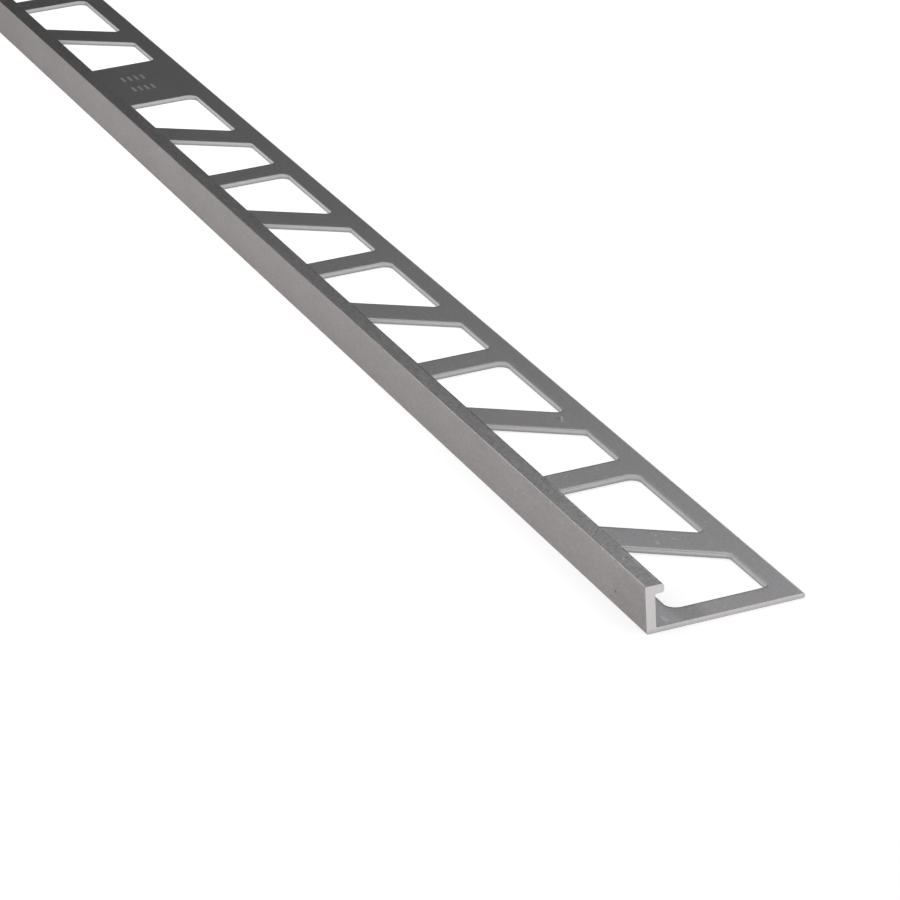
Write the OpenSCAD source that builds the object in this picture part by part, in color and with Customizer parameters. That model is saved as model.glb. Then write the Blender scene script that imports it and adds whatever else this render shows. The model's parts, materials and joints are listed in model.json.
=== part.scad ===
// Straight tile edge trim: one length of extruded aluminium profile.
// An upright wall carries a lip that is turned in over the tile's edge, and a
// thin anchoring leg lies under the tile. The leg is punched with pairs of
// right-angled trapezoid holes that key it into the adhesive.
// X runs along the length, with the first hole next to the +X end.
// The wall's outer face looks to -Y, the leg's underside lies on Z = 0.

/* [Stock] */
// Length of the stock
length = 1000; // [400:10:3000]

/* [Section] */
// Overall height, from the leg's underside to the lip's top
height = 8; // [6:0.5:15]
// Overall width, from the wall's outer face to the leg's edge
width = 26.7; // [24.7:0.5:39.7]
// Thickness of the anchoring leg
leg_t = 0.9; // [0.9:0.05:1.5]
// Thickness of the upright wall
wall_t = 1.6; // [1.2:0.1:2.2]
// Width of the lip, from the wall's outer face to the lip's tip
lip_w = 3.1; // [2.9:0.1:4.5]
// Thickness of the lip
lip_t = 1.5; // [1.2:0.1:2]
// Radius on both corners of the lip's tip
lip_tip_r = 0.5; // [0.1:0.05:0.55]
// Radius on the two outer corners of the wall
wall_corner_r = 0.2; // [0.05:0.05:0.4]
// Radius on both corners of the leg's edge
leg_edge_r = 0.4; // [0.05:0.05:0.4]
// Fillet in the two inner corners, wall to leg and wall to lip
fillet_r = 0.3; // [0.1:0.05:0.6]

/* [Holes] */
// From the wall's outer face to the holes' wall side
hole_inset = 6.1; // [4:0.1:8]
// Plain strip between the holes and the leg's edge
edge_strip = 4.1; // [3:0.1:8]
// Length of a hole on its short side
hole_short = 13; // [10:0.1:16]
// Length of a hole on its long side
hole_long = 25.5; // [20:0.1:30]
// Slanted web inside a pair of holes, measured along the length
slanted_web = 9; // [5:0.1:12]
// Straight web between two pairs of holes
straight_web = 6.8; // [4:0.1:10]
// Unpunched web between two groups of holes
plain_web = 26; // [10:0.5:40]
// Pairs of holes in a group
group_pairs = 5; // [1:1:8]
// Unpunched strip at the ends, before the first hole and at least after the last
end_strip = 4.8; // [3:0.1:20]
// Radius in a hole's sharp corner and in its short side's square corner
sharp_corner_r = 0.7; // [0.3:0.1:1]
// Radius in a hole's blunt corner
blunt_corner_r = 1.2; // [0.3:0.1:2.5]
// Radius in the square corner of a hole's long side
long_corner_r = 2; // [0.3:0.1:3]

/* [Hidden] */
// Fineness of every round corner
$fn = 32;
// How far the punch runs past both faces of the leg
punch_over = 1;
// How far a hole's corner discs bite past its sides, so that no hairline is left beside a slanted side
punch_bite = 0.002;

pair_length = hole_short + slanted_web + hole_long;
pair_pitch = pair_length + straight_web;
group_pitch = group_pairs * pair_pitch - straight_web + plain_web;
near_end = length / 2;
wall_face = -width / 2;
leg_edge = width / 2;
hole_wall_side = wall_face + hole_inset;
hole_edge_side = leg_edge - edge_strip;
// Room for holes between the two end strips
punched_length = length - 2 * end_strip;
last_group = floor(punched_length / group_pitch);

// Corner i of an outline that is listed anticlockwise: the direction it is
// reached in, the direction it is left in, and the turn between them.
function unit(v) = v / norm(v);
function way_in(outline, i) = unit(outline[i] - outline[(i + len(outline) - 1) % len(outline)]);
function way_out(outline, i) = unit(outline[(i + 1) % len(outline)] - outline[i]);
function turn(outline, i) =
    let (into = way_in(outline, i), out = way_out(outline, i)) atan2(cross(into, out), into * out);
// The rounding arc of corner i: how far from the corner it starts, its two ends and its centre.
function setback(outline, radii, i) = radii[i] * tan(abs(turn(outline, i)) / 2);
function arc_start(outline, radii, i) = outline[i] - setback(outline, radii, i) * way_in(outline, i);
function arc_end(outline, radii, i) = outline[i] + setback(outline, radii, i) * way_out(outline, i);
function left_of(v) = [-v[1], v[0]];
function arc_centre(outline, radii, i) =
    arc_start(outline, radii, i) + sign(turn(outline, i)) * radii[i] * left_of(way_in(outline, i));

// An outline with an arc in each corner: discs fill the outer corners out and
// clear the inner ones.
module rounded_outline(outline, radii, bite = 0) {
    corners = [0 : len(outline) - 1];
    difference() {
        union() {
            polygon([for (i = corners) each [arc_start(outline, radii, i), arc_end(outline, radii, i)]]);
            for (i = corners) if (turn(outline, i) > 0) corner_disc(outline, radii, i, bite);
        }
        for (i = corners) if (turn(outline, i) < 0) corner_disc(outline, radii, i, bite);
    }
}

module corner_disc(outline, radii, i, bite) {
    translate(arc_centre(outline, radii, i)) circle(r = radii[i] + bite);
}

// The section, drawn from the wall's bottom corner round by the leg and the lip
module section() {
    rounded_outline(
        [[0, 0], [width, 0], [width, leg_t], [wall_t, leg_t],
         [wall_t, height - lip_t], [lip_w, height - lip_t], [lip_w, height], [0, height]],
        [wall_corner_r, leg_edge_r, leg_edge_r, fillet_r,
         fillet_r, lip_tip_r, lip_tip_r, wall_corner_r]);
}

// One hole, with its long side by the wall and its square end on X = 0
module hole() {
    rounded_outline(
        [[0, hole_wall_side], [0, hole_edge_side],
         [-hole_short, hole_edge_side], [-hole_long, hole_wall_side]],
        [long_corner_r, sharp_corner_r, blunt_corner_r, sharp_corner_r],
        punch_bite);
}

// Two like holes, the second one turned half round beyond the slanted web
module hole_pair() {
    hole();
    translate([-pair_length, hole_wall_side + hole_edge_side]) rotate(180) hole();
}

// All the holes that fit between the end strips, group after group
module holes() {
    for (group = [0 : last_group], pair = [0 : group_pairs - 1]) {
        start = group * group_pitch + pair * pair_pitch;
        if (start + pair_length <= punched_length) translate([near_end - end_strip - start, 0]) hole_pair();
    }
}

module edge_trim() {
    color("darkgray")
    difference() {
        translate([-near_end, wall_face, 0]) rotate([90, 0, 90]) linear_extrude(length) section();
        translate([0, 0, -punch_over]) linear_extrude(leg_t + 2 * punch_over) holes();
    }
}

edge_trim();
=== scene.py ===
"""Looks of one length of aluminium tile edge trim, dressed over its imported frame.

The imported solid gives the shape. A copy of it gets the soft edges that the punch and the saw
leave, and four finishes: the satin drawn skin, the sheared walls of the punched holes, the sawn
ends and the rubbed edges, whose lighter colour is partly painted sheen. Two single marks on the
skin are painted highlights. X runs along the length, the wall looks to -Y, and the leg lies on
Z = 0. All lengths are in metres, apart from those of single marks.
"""

from __future__ import annotations

import json
import logging
import math
from dataclasses import dataclass
from enum import Enum
from typing import Any, Union

import bmesh
import bpy
from mathutils import Matrix, Vector

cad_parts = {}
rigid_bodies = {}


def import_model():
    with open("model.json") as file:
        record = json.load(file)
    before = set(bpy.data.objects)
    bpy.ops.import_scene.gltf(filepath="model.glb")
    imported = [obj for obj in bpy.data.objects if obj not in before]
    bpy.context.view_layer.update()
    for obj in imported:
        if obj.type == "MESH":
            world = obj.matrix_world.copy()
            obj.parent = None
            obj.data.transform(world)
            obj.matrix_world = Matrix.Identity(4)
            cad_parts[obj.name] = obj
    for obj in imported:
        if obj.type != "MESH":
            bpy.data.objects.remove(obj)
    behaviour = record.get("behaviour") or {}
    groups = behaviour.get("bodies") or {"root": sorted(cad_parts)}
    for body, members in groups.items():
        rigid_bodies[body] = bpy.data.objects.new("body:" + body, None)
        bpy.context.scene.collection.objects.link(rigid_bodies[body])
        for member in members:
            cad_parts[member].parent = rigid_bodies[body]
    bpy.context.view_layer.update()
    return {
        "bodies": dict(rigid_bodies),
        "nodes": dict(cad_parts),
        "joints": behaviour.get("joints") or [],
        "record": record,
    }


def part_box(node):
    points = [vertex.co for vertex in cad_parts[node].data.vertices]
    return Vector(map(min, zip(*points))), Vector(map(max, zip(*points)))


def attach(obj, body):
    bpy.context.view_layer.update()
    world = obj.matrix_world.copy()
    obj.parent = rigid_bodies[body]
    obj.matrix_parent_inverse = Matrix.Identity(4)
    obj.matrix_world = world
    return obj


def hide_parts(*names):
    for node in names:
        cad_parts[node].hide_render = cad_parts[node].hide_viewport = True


LOG = logging.getLogger("edge_trim")
MM = 0.001
Colour = tuple[float, float, float]
Point = tuple[float, float, float]
Span = tuple[float, float]
WHITE: Colour = (1.0, 1.0, 1.0)
COOL: Colour = (0.95, 0.99, 1.035)
NOISE_MIDDLE = 0.5
LEAST_RUN = 1e-12


class Face(Enum):
    """Which finish a face of the trim wears, by the way it was made."""

    DRAWN = 0
    SHEARED = 1
    SAWN = 2
    # Rubbed leg edge and hole rims; their lighter colour is partly painted sheen.
    RUBBED_AND_SHEEN = 3


class Blend(Enum):
    """How two colours are mixed."""

    MIX = "MIX"
    MULTIPLY = "MULTIPLY"


class Signal:
    """A shader value: arithmetic on it adds Math nodes to its graph."""

    def __init__(self, graph: Graph, socket: bpy.types.NodeSocket) -> None:
        """Wraps one output socket.

        Args:
            graph: The node graph that the socket belongs to.
            socket: The output socket that carries the value.
        """
        self.graph = graph
        self.socket = socket

    def math(self, operation: str, *values: Value) -> Signal:
        """Adds a Math node.

        Args:
            operation: Blender's name of the operation.
            values: The operands, in order.

        Returns:
            The node's result.
        """
        return self.graph.add("ShaderNodeMath", {"operation": operation}, dict(enumerate(values)))

    def __add__(self, other: Value) -> Signal:
        """Sum."""
        return self.math("ADD", self, other)

    def __radd__(self, other: Value) -> Signal:
        """Sum, with the number first."""
        return self.math("ADD", other, self)

    def __sub__(self, other: Value) -> Signal:
        """Difference."""
        return self.math("SUBTRACT", self, other)

    def __rsub__(self, other: Value) -> Signal:
        """Difference, with the number first."""
        return self.math("SUBTRACT", other, self)

    def __mul__(self, other: Value) -> Signal:
        """Product."""
        return self.math("MULTIPLY", self, other)

    def __rmul__(self, other: Value) -> Signal:
        """Product, with the number first."""
        return self.math("MULTIPLY", other, self)

    def __abs__(self) -> Signal:
        """Size without its sign."""
        return self.math("ABSOLUTE", self)

    def clamped(self) -> Signal:
        """Kept from 0 to 1."""
        return self.graph.add("ShaderNodeClamp", sockets={"Value": self})

    def to_tone(self, tone: float) -> Signal:
        """A tone that goes from 1, where the signal is 0, to this tone, where it is 1."""
        return 1.0 + self * (tone - 1.0)

    def rise(self, low: float, high: float) -> Signal:
        """Smooth step.

        Args:
            low: The value at which the step is 0.
            high: The value at which the step is 1, which may be under low.

        Returns:
            A value from 0 to 1.
        """
        sockets = {"Value": self, "From Min": low, "From Max": high}
        return self.graph.add("ShaderNodeMapRange", {"interpolation_type": "SMOOTHSTEP"}, sockets)


Value = Union[float, Signal]


class Graph:
    """The node graph of one material or of the room's light, with one shader at its end."""

    def __init__(self, owner: bpy.types.Material | bpy.types.World) -> None:
        """Opens the node graph of a new material or world.

        Args:
            owner: The material or world.
        """
        owner.use_nodes = True
        self.owner = owner
        self.tree = owner.node_tree
        self.shader = next(n for n in self.tree.nodes if n.type in ("BSDF_PRINCIPLED", "BACKGROUND"))

    @classmethod
    def of_material(cls, name: str) -> Graph:
        """Opens the graph of a new material with this name."""
        return cls(bpy.data.materials.new(name))

    def add(
        self,
        kind: str,
        settings: dict[str, Any] | None = None,
        sockets: dict[str | int, Any] | None = None,
        output: str | int = 0,
    ) -> Signal:
        """Adds any node.

        Args:
            kind: The node's type name.
            settings: Its own properties, which are set first.
            sockets: Values or signals for its inputs, by name or number.
            output: The output that is wanted, by name or number.

        Returns:
            That output.
        """
        node = self.tree.nodes.new(kind)
        for key, value in (settings or {}).items():
            setattr(node, key, value)
        for key, value in (sockets or {}).items():
            self.feed(node.inputs[key], value)
        return Signal(self, node.outputs[output])

    def feed(self, target: bpy.types.NodeSocket, value: Any) -> None:
        """Links a signal to an input, or sets the input's own value.

        Args:
            target: The input socket.
            value: A signal, a number or a vector.
        """
        if isinstance(value, Signal):
            self.tree.links.new(value.socket, target)
        else:
            target.default_value = value

    def place(self) -> Signal:
        """Object coordinates, in metres."""
        return self.add("ShaderNodeTexCoord", output="Object")

    def axes(self, point: Signal) -> tuple[Signal, Signal, Signal]:
        """Splits a point.

        Args:
            point: A vector signal.

        Returns:
            Its x, y and z.
        """
        split = self.add("ShaderNodeSeparateXYZ", sockets={"Vector": point}).socket.node
        return tuple(Signal(self, output) for output in split.outputs)

    def stretched(self, point: Signal, scale: Point) -> Signal:
        """Scales a point along each axis, so that a pattern read there is drawn out.

        Args:
            point: A vector signal.
            scale: Pattern units in a metre along x, y and z.

        Returns:
            The scaled point.
        """
        return self.add("ShaderNodeMapping", sockets={"Vector": point, "Scale": scale})

    def noise(self, point: Signal, detail: float, rough: float) -> Signal:
        """Cloudy noise about NOISE_MIDDLE.

        Args:
            point: Where it is read.
            detail: How many finer layers it has.
            rough: How strong the finer layers are.

        Returns:
            A value from 0 to 1.
        """
        sockets = {"Vector": point, "Scale": 1.0, "Detail": detail, "Roughness": rough}
        return self.add("ShaderNodeTexNoise", {"noise_dimensions": "3D"}, sockets)

    def mix(self, factor: Value, first: Any, second: Any, blend: Blend = Blend.MIX) -> Signal:
        """Mixes two colours.

        Args:
            factor: Share of the second colour.
            first: A colour or a colour signal.
            second: A colour or a colour signal.
            blend: How they are mixed.

        Returns:
            The mixed colour.
        """
        settings = {"data_type": "RGBA", "blend_type": blend.value}
        wide = [(*c, 1.0) if isinstance(c, tuple) else c for c in (first, second)]
        return self.add("ShaderNodeMix", settings, {0: factor, 6: wide[0], 7: wide[1]}, output=2)

    def toned(self, tint: Colour, shade: Signal) -> Signal:
        """Lightens or darkens a colour.

        Args:
            tint: The colour.
            shade: The tone, 1 for no change.

        Returns:
            The toned colour.
        """
        return self.mix(1.0, tint, shade, Blend.MULTIPLY)

    def vector(self, operation: str, *operands: Any) -> Signal:
        """Adds a Vector Math node.

        Args:
            operation: Blender's name of the operation.
            operands: Points or vector signals, in order, and a scale last where there is one.

        Returns:
            The node's vector, or its number for a length or a product of two vectors.
        """
        sockets = dict(enumerate(operands))
        if operation == "SCALE":
            sockets = {0: operands[0], "Scale": operands[1]}
        output = "Value" if operation in ("LENGTH", "DOT_PRODUCT") else "Vector"
        return self.add("ShaderNodeVectorMath", {"operation": operation}, sockets, output)

    def specks(self, point: Signal, size: float, core: float) -> Signal:
        """Sparse small spots, most of them just touched by the surface.

        Args:
            point: Where they are read, in cells of the pattern.
            size: How far a spot reaches, in cells.
            core: How far its full strength reaches, in cells.

        Returns:
            1 in a spot and 0 away from it.
        """
        sockets = {"Vector": point, "Scale": 1.0, "Randomness": 1.0}
        cells = self.add("ShaderNodeTexVoronoi", {"feature": "F1"}, sockets, "Distance")
        return cells.rise(size, core)

    def bump(self, height: Signal, depth: float) -> None:
        """Sends a height to the shader's normal.

        Args:
            height: The relief, over a range of 1.
            depth: How far the top of that range stands above its foot.
        """
        sockets = {"Strength": 1.0, "Distance": depth, "Height": height}
        self.feed(self.shader.inputs["Normal"], self.add("ShaderNodeBump", sockets=sockets))

    def bare_metal(self, colour: Any, roughness: Value, glance: float, bareness: float = 1.0) -> None:
        """Sets bare metal with this colour and roughness.

        Args:
            colour: A colour or a colour signal.
            roughness: A number or a signal.
            glance: How much of a clean metal's shine it keeps at a glancing angle.
            bareness: Share of it that is bare, the rest being dull oxide.
        """
        self.shader.inputs["Metallic"].default_value = bareness
        self.shader.inputs["Specular Tint"].default_value = (glance, glance, glance, 1.0)
        self.feed(self.shader.inputs["Base Color"], colour)
        self.feed(self.shader.inputs["Roughness"], roughness)


@dataclass(frozen=True)
class Grain:
    """Cloudy noise that is drawn out along the axes, scaled in pattern units to the metre."""

    scale: Point
    detail: float = 3.0
    rough: float = 0.5

    def read(self, graph: Graph, point: Signal) -> Signal:
        """Reads the noise at a point.

        Args:
            graph: The finish's graph.
            point: Object coordinates.

        Returns:
            A value that swings about 0, over a range of 1.
        """
        return graph.noise(graph.stretched(point, self.scale), self.detail, self.rough) - NOISE_MIDDLE


@dataclass(frozen=True)
class Mark:
    """A speck, scuff, scratch, broad darkening or painted highlight, sized in millimetres.

    It is a soft-edged band round a short line. Its core has the full tone, which fades out at its
    reach. Both are shares of its width.
    """

    start: Point
    end: Point
    width: float
    tone: float
    reach: float = 0.5
    core: float = 0.2

    def shade(self, graph: Graph, point: Signal) -> Signal:
        """Works out how the mark changes the tone.

        Args:
            graph: The finish's graph.
            point: Object coordinates.

        Returns:
            The mark's tone on its line and 1 away from it.
        """
        run = (Vector(self.end) - Vector(self.start)) * MM
        width = self.width * MM
        from_start = graph.vector("SUBTRACT", point, tuple(Vector(self.start) * MM))
        share = graph.vector("DOT_PRODUCT", from_start, tuple(run / max(run.length_squared, LEAST_RUN)))
        nearest = graph.vector("SCALE", tuple(run), share.clamped())
        away = graph.vector("LENGTH", graph.vector("SUBTRACT", from_start, nearest))
        return away.rise(width * self.reach, width * self.core).to_tone(self.tone)


def spot(place: Point, width: float, tone: float) -> Mark:
    """Makes a round mark.

    Args:
        place: Its middle.
        width: Its width.
        tone: Its tone against the skin's own.

    Returns:
        The mark.
    """
    return Mark(place, place, width, tone)


@dataclass(frozen=True)
class DrawnSkin:
    """Satin skin of the extrusion: fine grain, broad clouds, faint die lines, small specks, a stamp
    and single marks, two of them painted highlights.
    """

    tint: Colour = (0.430, 0.407, 0.401)
    roughness: float = 0.36
    glance: float = 0.3
    relief: float = 0.010 * MM
    lines: Grain = Grain((6.0, 4200.0, 4200.0))
    line_tone: float = 0.10
    line_relief: float = 0.3
    grain: Grain = Grain((1800.0, 2300.0, 2300.0), rough=0.6)
    grain_tone: float = 0.6
    grain_roughness: float = 0.12
    clouds: Grain = Grain((70.0, 160.0, 160.0))
    cloud_tone: float = 0.12
    speck_scale: Point = (520.0, 620.0, 620.0)
    speck_size: float = 0.12
    speck_core: float = 0.06
    speck_tone: float = 1.35
    lip_heights: Span = (7.0 * MM, 7.6 * MM)
    lip_side: Span = (-13.28 * MM, -13.05 * MM)
    lip_tone: float = 0.85
    lip_grain_tone: float = 0.6
    stamp_middle: Span = (217.3 * MM, 1.5 * MM)
    stamp_pitch: float = 290.7 * MM
    stamp_rows_apart: float = 7.0 * MM
    stroke_length: float = 3.0 * MM
    stroke_width: float = 0.6 * MM
    stroke_pitch: float = 1.4 * MM
    stroke_soft: float = 0.1 * MM
    stroke_tone: float = 2.0
    row_width: float = 5.4 * MM
    row_soft: float = 0.05 * MM
    marks_and_highlights: tuple[Mark, ...] = (
        # Lip
        Mark((479.65, -13.08, 8.0), (477.16, -10.93, 8.0), 0.28, 1.25),
        Mark((479.98, -12.94, 8.0), (477.64, -10.89, 8.0), 0.30, 0.85),
        Mark((488.65, -11.72, 8.0), (489.81, -12.17, 8.0), 0.40, 1.30),
        spot((480.44, -11.51, 8.0), 0.9, 1.15),
        spot((491.75, -12.64, 8.0), 0.6, 1.25),
        spot((487.31, -12.77, 8.0), 0.6, 1.20),
        # Painted highlight along the lip's rounded inner tip at the near end.
        Mark((499.5, -10.45, 7.9), (455.0, -10.45, 7.9), 0.9, 1.85),
        # Corner between lip and wall
        spot((489.20, -13.30, 8.0), 0.6, 0.60),
        spot((484.50, -13.34, 7.9), 0.8, 1.30),
        # Painted highlight along the corner between lip and wall at the near end.
        Mark((499.6, -13.31, 7.92), (488.0, -13.31, 7.92), 0.6, 1.14),
        # Wall
        spot((488.85, -13.35, 2.58), 0.6, 0.42),
        spot((487.07, -13.35, 1.0), 0.5, 0.55),
        Mark((498.92, -13.35, 2.84), (498.74, -13.35, 1.83), 0.6, 0.85),
        # Broad darkening of the wall at the near end.
        Mark((500.0, -13.35, 3.5), (493.0, -13.35, 3.5), 13.0, 0.94),
        # Leg, from the near end on
        Mark((497.09, -9.49, 0.9), (498.65, -9.32, 0.9), 0.85, 1.28),
        # Broad darkening of the leg at the near end, beside the lip.
        Mark((495.5, -5.4, 0.9), (499.5, -5.2, 0.9), 6.0, 0.84),
        spot((470.42, 2.00, 0.9), 0.6, 1.45),
        Mark((469.30, 1.90, 0.9), (469.80, 1.70, 0.9), 0.45, 1.22),
        Mark((472.70, 1.17, 0.9), (473.50, 1.05, 0.9), 0.8, 1.30),
        Mark((472.77, 3.89, 0.9), (473.37, 4.22, 0.9), 0.65, 1.28),
        spot((446.10, 4.37, 0.9), 0.9, 1.15),
        spot((443.13, -1.38, 0.9), 0.9, 1.20),
        spot((442.83, 4.41, 0.9), 0.9, 1.25),
        Mark((420.50, 7.35, 0.9), (421.20, 7.15, 0.9), 1.0, 0.78),
        Mark((420.42, 8.09, 0.9), (422.37, 7.29, 0.9), 0.6, 1.40),
        Mark((390.44, 3.95, 0.9), (390.45, 4.70, 0.9), 1.2, 1.13),
    )

    def material(self) -> bpy.types.Material:
        """Makes the material.

        Returns:
            The material.
        """
        graph = Graph.of_material("drawn_skin")
        point = graph.place()
        along, across, height = graph.axes(point)
        lip = height.rise(*self.lip_heights) * across.rise(*self.lip_side)
        lines = self.lines.read(graph, point)
        grain = self.grain.read(graph, point)
        clouds = self.clouds.read(graph, point)
        cells = graph.stretched(point, self.speck_scale)
        specks = graph.specks(cells, self.speck_size, self.speck_core)
        shade = 1.0 + lines * self.line_tone + clouds * self.cloud_tone
        shade = shade + grain * (self.grain_tone + lip * self.lip_grain_tone)
        shade = shade * lip.to_tone(self.lip_tone) * specks.to_tone(self.speck_tone)
        shade = shade * self.stamp(along, across).to_tone(self.stroke_tone)
        for mark in self.marks_and_highlights:
            shade = shade * mark.shade(graph, point)
        roughness = self.roughness + grain * self.grain_roughness
        graph.bare_metal(graph.toned(self.tint, shade), roughness, self.glance)
        graph.bump(grain + lines * self.line_relief, self.relief)
        return graph.owner

    def stamp(self, along: Signal, across: Signal) -> Signal:
        """Draws two rows of short plain strokes on each unpunched web.

        Args:
            along: Place along the length.
            across: Place across the leg.

        Returns:
            1 on a stroke and 0 beside it.
        """
        half_pitch = self.stamp_pitch / 2
        half_step = self.stroke_pitch / 2
        half_length = self.stroke_length / 2
        half_width = self.stroke_width / 2
        half_row = self.row_width / 2
        from_middle = along.math("WRAP", along - self.stamp_middle[0], half_pitch, -half_pitch)
        from_row = abs(abs(from_middle) - self.stamp_rows_apart / 2)
        from_line = across - self.stamp_middle[1]
        from_stroke = abs(across.math("WRAP", from_line + half_step, half_step, -half_step))
        rows = from_row.rise(half_length + self.stroke_soft, half_length - self.stroke_soft)
        strokes = from_stroke.rise(half_width + self.stroke_soft, half_width - self.stroke_soft)
        ends = abs(from_line).rise(half_row + self.row_soft, half_row)
        return rows * strokes * ends


@dataclass(frozen=True)
class ShearedWall:
    """Punched hole wall: bright where the punch sheared it, dull where the metal broke away below."""

    bright: Colour = (0.515, 0.509, 0.502)
    dull: Colour = (0.37, 0.359, 0.352)
    roughness: float = 0.42
    glance: float = 0.8
    relief: float = 0.010 * MM
    streaks: Grain = Grain((3200.0, 3200.0, 300.0))
    ragged: float = 0.3 * MM
    break_heights: Span = (0.66 * MM, 0.08 * MM)
    break_roughness: float = 0.15

    def material(self) -> bpy.types.Material:
        """Makes the material.

        Returns:
            The material.
        """
        graph = Graph.of_material("sheared_wall")
        point = graph.place()
        height = graph.axes(point)[2]
        streaks = self.streaks.read(graph, point)
        broken = (height + streaks * self.ragged).rise(*self.break_heights)
        roughness = self.roughness + broken * self.break_roughness
        graph.bare_metal(graph.mix(broken, self.bright, self.dull), roughness, self.glance)
        graph.bump(streaks, self.relief)
        return graph.owner


@dataclass(frozen=True)
class SawnEnd:
    """Sawn end: bright bare metal with the saw's fine lines, darker towards its foot."""

    tint: Colour = (0.625, 0.604, 0.605)
    roughness: float = 0.5
    glance: float = 0.9
    relief: float = 0.012 * MM
    cuts: Grain = Grain((100.0, 3400.0, 240.0))
    cut_tone: float = 0.3
    cut_roughness: float = 0.1
    foot_height: float = 1.0 * MM
    foot_tone: float = 0.80

    def material(self) -> bpy.types.Material:
        """Makes the material.

        Returns:
            The material.
        """
        graph = Graph.of_material("sawn_end")
        point = graph.place()
        cuts = self.cuts.read(graph, point)
        foot = graph.axes(point)[2].rise(self.foot_height, 0.0)
        shade = (1.0 + cuts * self.cut_tone) * foot.to_tone(self.foot_tone)
        roughness = self.roughness + cuts * self.cut_roughness
        graph.bare_metal(graph.toned(self.tint, shade), roughness, self.glance)
        graph.bump(cuts, self.relief)
        return graph.owner


@dataclass(frozen=True)
class RubbedEdgeAndSheen:
    """Rounded leg edge, hole rims: rubbed dull by handling and stacking, lighter partly as painted
    sheen.
    """

    # Lighter than the skin: partly rubbed wear, partly painted sheen standing in for the light these
    # rounded faces catch.
    tint: Colour = (0.60, 0.582, 0.578)
    roughness: float = 0.62
    glance: float = 1.0
    bareness: float = 0.2
    rubs: Grain = Grain((300.0, 1500.0, 1500.0))
    rub_tone: float = 0.2
    rub_roughness: float = 0.1
    # Where, and how strongly, a painted highlight lightens the leg's outer rounded edge.
    outer_highlight_side: Span = (12.6 * MM, 12.95 * MM)
    outer_highlight_tone: float = 1.2

    def material(self) -> bpy.types.Material:
        """Makes the material.

        Returns:
            The material.
        """
        graph = Graph.of_material("rubbed_edge_and_sheen")
        point = graph.place()
        rubs = self.rubs.read(graph, point)
        # Painted highlight: the leg's outer rounded edge is lightened further.
        outer = graph.axes(point)[1].rise(*self.outer_highlight_side)
        shade = (1.0 + rubs * self.rub_tone) * outer.to_tone(self.outer_highlight_tone)
        roughness = self.roughness + rubs * self.rub_roughness
        graph.bare_metal(graph.toned(self.tint, shade), roughness, self.glance, self.bareness)
        return graph.owner


Finish = Union[DrawnSkin, ShearedWall, SawnEnd, RubbedEdgeAndSheen]


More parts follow.
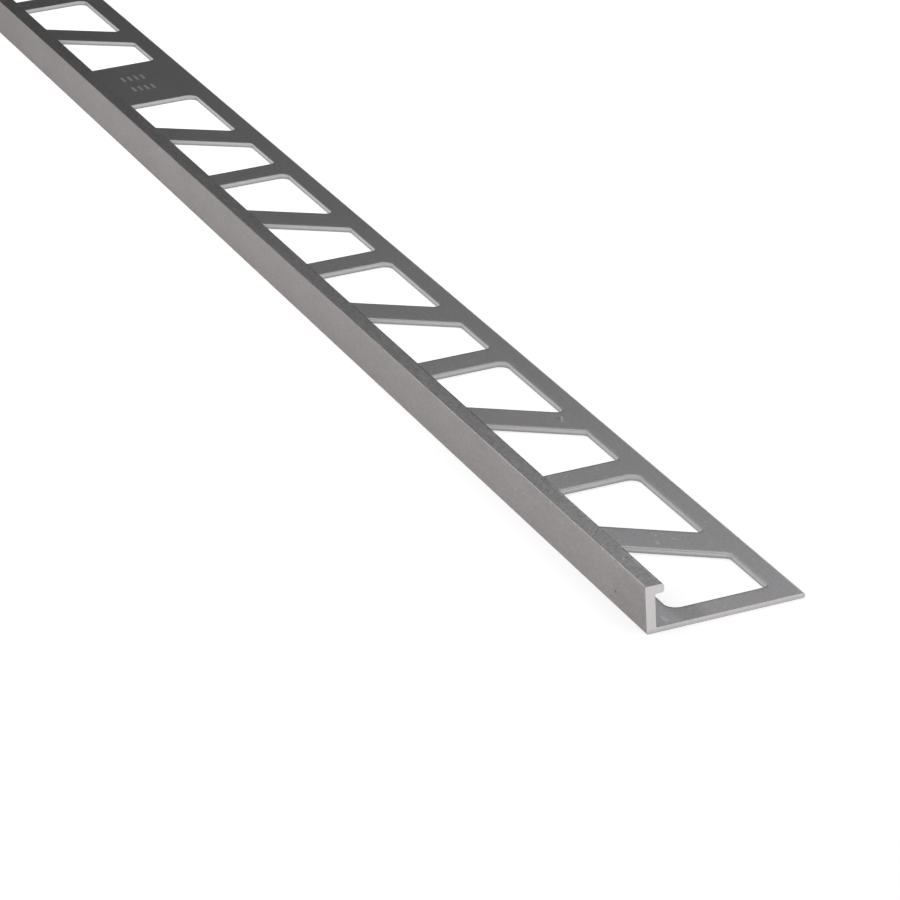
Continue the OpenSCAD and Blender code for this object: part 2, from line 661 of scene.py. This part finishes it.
@dataclass
class EdgeTrim:
    """The trim itself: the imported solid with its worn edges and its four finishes.

    The finishes stand in the order of Face. Angles are in degrees.
    """

    node: str = "edge_trim"
    body: str = "root"
    slot: str = "satin_aluminium"
    leg_thickness: float = 0.9 * MM
    leg_edge: float = 0.41 * MM
    hole_margin: float = 1.0 * MM
    draw_down: tuple[float, ...] = (0.030 * MM, 0.008 * MM)
    draw_step: float = 0.35 * MM
    rollover: float = 0.20 * MM
    burr: float = 0.04 * MM
    sawn_arris: float = 0.06 * MM
    rounding_steps: int = 3
    weld: float = 0.001 * MM
    tolerance: float = 0.01 * MM
    flat_angle: float = 0.1
    sharp_angle: float = 35.0
    least_slant: float = 0.02
    end_on: float = 0.99
    level: float = 0.9999
    finishes: tuple[Finish, ...] = (DrawnSkin(), ShearedWall(), SawnEnd(), RubbedEdgeAndSheen())

    def build(self, frame: dict[str, Any]) -> bpy.types.Object:
        """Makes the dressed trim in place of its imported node.


        Returns:
            The dressed object.
        """
        mesh = self.worn_mesh(frame["nodes"][self.node].data)
        self.dress(mesh)
        trim = bpy.data.objects.new("dressed_trim", mesh)
        bpy.context.scene.collection.objects.link(trim)
        weighting = trim.modifiers.new("flat_faces_stay_flat", "WEIGHTED_NORMAL")
        weighting.keep_sharp = True
        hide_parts(self.node)
        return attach(trim, self.body)

    def worn_mesh(self, packed: bpy.types.Mesh) -> bpy.types.Mesh:
        """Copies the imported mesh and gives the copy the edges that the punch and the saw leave.

        Args:
            packed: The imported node's mesh.

        Returns:
            The copy, with its faces sorted by finish.
        """
        shape = bmesh.new()
        shape.from_mesh(packed)
        bmesh.ops.remove_doubles(shape, verts=shape.verts, dist=self.weld)
        bmesh.ops.dissolve_limit(
            shape, angle_limit=math.radians(self.flat_angle), verts=shape.verts, edges=shape.edges
        )
        self.sort_faces(shape)
        self.soften(shape, Face.SAWN, Face.SAWN, self.sawn_arris)
        self.draw_rims_down(shape)
        rim_height = self.leg_thickness - self.draw_down[0]
        self.soften(shape, Face.SHEARED, Face.RUBBED_AND_SHEEN, self.rollover, rim_height)
        self.soften(shape, Face.SHEARED, Face.SHEARED, self.burr, 0.0)
        for face in shape.faces:
            face.smooth = True
        mesh = bpy.data.meshes.new("dressed_trim")
        shape.to_mesh(mesh)
        shape.free()
        mesh.set_sharp_from_angle(angle=math.radians(self.sharp_angle))
        return mesh

    def dress(self, mesh: bpy.types.Mesh) -> None:
        """Gives the mesh its finishes, in the order of Face."""
        for finish in self.finishes:
            mesh.materials.append(finish.material())

    def sort_faces(self, shape: bmesh.types.BMesh) -> None:
        """Gives each face the finish of the way it was made.

        Args:
            shape: The trim's mesh.
        """
        low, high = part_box(self.node)
        shape.normal_update()
        for face in shape.faces:
            middle = face.calc_center_median()
            from_end = min(middle.x - low.x, high.x - middle.x)
            upright = abs(face.normal.z) < self.least_slant
            thin = max(v.co.z for v in face.verts) < self.leg_thickness + self.tolerance
            inside = low.y + self.hole_margin < middle.y < high.y - self.hole_margin
            kind = Face.DRAWN
            if abs(face.normal.x) > self.end_on and from_end < self.tolerance:
                kind = Face.SAWN
            elif upright and thin and inside:
                kind = Face.SHEARED
            elif face.normal.y > self.least_slant and middle.y > high.y - self.leg_edge:
                kind = Face.RUBBED_AND_SHEEN
            face.material_index = kind.value

    def draw_rims_down(self, shape: bmesh.types.BMesh) -> None:
        """Bends the leg's top down round each hole, as the punch does on its way in.

        Args:
            shape: The trim's mesh.
        """
        shape.normal_update()
        level = [f for f in shape.faces if f.normal.z > self.level]
        top = [f for f in level if self.at_height(f.verts, self.leg_thickness)]
        rings = []
        for _ in self.draw_down:
            inset = bmesh.ops.inset_region(
                shape, faces=top, thickness=self.draw_step, use_even_offset=True, use_boundary=True
            )
            rings.append(inset["faces"])
        walls = [f for f in shape.faces if f.material_index == Face.SHEARED.value]
        loop = {v for f in walls for v in f.verts if self.at_height([v], self.leg_thickness)}
        for drop, ring in zip(self.draw_down, rings):
            touching = [f for f in ring if not loop.isdisjoint(f.verts)]
            next_loop = {v for f in touching for v in f.verts} - loop
            for vert in loop:
                vert.co.z -= drop
            loop = next_loop

    def at_height(self, verts: Any, height: float) -> bool:
        """Tells whether all these vertices lie at one height."""
        return all(abs(v.co.z - height) < self.tolerance for v in verts)

    def soften(
        self,
        shape: bmesh.types.BMesh,
        kind: Face,
        finish: Face,
        radius: float,
        height: float | None = None,
    ) -> None:
        """Rounds the edges between one kind of face and the others.

        Args:
            shape: The trim's mesh.
            kind: The kind of face whose rims are rounded.
            finish: The finish that the rounding takes.
            radius: How far the rounding reaches.
            height: The only height at which edges count, or None for all.
        """
        rims = []
        for edge in shape.edges:
            kinds = {face.material_index for face in edge.link_faces}
            level = height is None or self.at_height(edge.verts, height)
            if kind.value in kinds and len(kinds) == 2 and level:
                rims.append(edge)
        rounded = bmesh.ops.bevel(
            shape,
            geom=rims,
            offset=radius,
            offset_type="OFFSET",
            affect="EDGES",
            segments=self.rounding_steps,
            profile=0.5,
            material=-1,
            clamp_overlap=False,
        )
        for face in rounded["faces"]:
            face.material_index = finish.value
        LOG.info("%d %s rims rounded by %.3f mm", len(rims), kind.name.lower(), radius / MM)


@dataclass(frozen=True)
class Softbox:
    """One rectangular studio light that looks at a point."""

    name: str
    place: Point
    size: Span
    watts: float
    colour: Colour = WHITE
    aim: Point = (0.46, 0.0, 0.0)

    def build(self) -> bpy.types.Object:
        """Makes the light.

        Returns:
            The light.
        """
        data = bpy.data.lights.new(self.name, "AREA")
        data.shape = "RECTANGLE"
        data.size, data.size_y = self.size
        data.energy = self.watts
        data.color = self.colour
        light = bpy.data.objects.new(self.name, data)
        light.location = self.place
        towards = Vector(self.aim) - Vector(self.place)
        light.rotation_euler = towards.to_track_quat("-Z", "Y").to_euler()
        light.visible_camera = False
        bpy.context.scene.collection.objects.link(light)
        return light


@dataclass(frozen=True)
class SoftRoom:
    """Even light all round, with a soft dark gap behind the trim that keeps its far end darker.

    The gap's two angles from its middle are in degrees.
    """

    light: float = 0.68
    dark: float = 0.035
    gap_towards: Point = (-0.851, 0.332, 0.406)
    gap_inner: float = 40.0
    gap_outer: float = 75.0

    def build(self) -> None:
        """Makes the world and hands it to the scene."""
        graph = Graph(bpy.data.worlds.new("soft_room"))
        direction = graph.add("ShaderNodeTexCoord", output="Generated")
        towards = graph.vector("DOT_PRODUCT", direction, self.gap_towards)
        inner = math.cos(math.radians(self.gap_inner))
        outer = math.cos(math.radians(self.gap_outer))
        strength = self.dark + towards.rise(inner, outer) * (self.light - self.dark)
        graph.feed(graph.shader.inputs["Color"], (*WHITE, 1.0))
        graph.feed(graph.shader.inputs["Strength"], strength)
        bpy.context.scene.world = graph.owner


@dataclass
class Studio:
    """Plain pale floor and soft light."""

    floor_size: float = 60.0
    floor_drop: float = 0.01 * MM
    floor_tint: Colour = (0.93, 0.93, 0.93)
    floor_roughness: float = 0.9
    floor_glow: float = 0.5
    room: SoftRoom = SoftRoom()
    lights: tuple[Softbox, ...] = (
        Softbox("back_card", (-0.35, 0.42, 0.76), (0.5, 0.3), 1.0, COOL),
        Softbox("high_back_card", (-0.247, 0.0, 0.843), (1.2, 0.35), 1.4, COOL),
        Softbox("corner_card", (0.202, -0.118, 0.158), (0.12, 0.12), 0.13, aim=(0.5, -0.0134, 0.008)),
    )

    def build(self) -> None:
        """Makes the floor, the lights and the even light all round."""
        shape = bmesh.new()
        bmesh.ops.create_grid(shape, x_segments=1, y_segments=1, size=self.floor_size / 2)
        bmesh.ops.translate(shape, verts=shape.verts, vec=(0.0, 0.0, -self.floor_drop))
        mesh = bpy.data.meshes.new("floor")
        shape.to_mesh(mesh)
        shape.free()
        graph = Graph.of_material("pale_floor")
        graph.feed(graph.shader.inputs["Base Color"], (*self.floor_tint, 1.0))
        graph.feed(graph.shader.inputs["Roughness"], self.floor_roughness)
        graph.feed(graph.shader.inputs["Specular IOR Level"], 0.0)
        graph.feed(graph.shader.inputs["Emission Color"], (*WHITE, 1.0))
        graph.feed(graph.shader.inputs["Emission Strength"], self.floor_glow)
        mesh.materials.append(graph.owner)
        floor = bpy.data.objects.new("floor", mesh)
        bpy.context.scene.collection.objects.link(floor)
        self.room.build()
        for light in self.lights:
            light.build()


@dataclass
class ProductCamera:
    """Long lens that looks down along the trim from its near end, with its angles in degrees."""

    aim: Point = (0.42205, -0.01307, 0.0)
    distance: float = 0.69571
    azimuth: float = 68.676
    elevation: float = 23.964
    roll: float = -3.223
    lens: float = 167.0
    sensor: float = 36.0
    clip: Span = (0.01, 100.0)

    def build(self) -> bpy.types.Object:
        """Makes the camera and hands it to the scene.

        Returns:
            The camera.
        """
        data = bpy.data.cameras.new("product_camera")
        data.lens, data.sensor_width = self.lens, self.sensor
        data.clip_start, data.clip_end = self.clip
        turn, rise = math.radians(self.azimuth), math.radians(self.elevation)
        flat = math.cos(rise)
        back = Vector((math.sin(turn) * flat, -math.cos(turn) * flat, math.sin(rise)))
        camera = bpy.data.objects.new("product_camera", data)
        level = (-back).to_track_quat("-Z", "Y").to_matrix().to_4x4()
        tilt = Matrix.Rotation(math.radians(self.roll), 4, "Z")
        camera.matrix_world = Matrix.Translation(Vector(self.aim) + back * self.distance) @ level @ tilt
        bpy.context.scene.collection.objects.link(camera)
        bpy.context.scene.camera = camera
        return camera


def main() -> None:
    """Builds the trim, the studio and the camera in order."""
    logging.basicConfig(level=logging.INFO, format="%(name)s: %(message)s")
    for leftover in list(bpy.data.objects):
        bpy.data.objects.remove(leftover)
    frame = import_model()
    trim = EdgeTrim().build(frame)
    LOG.info("%s has %d faces", trim.name, len(trim.data.polygons))
    Studio().build()
    ProductCamera().build()
    bpy.context.scene.view_settings.view_transform = "Standard"


if __name__ == "__main__":
    main()
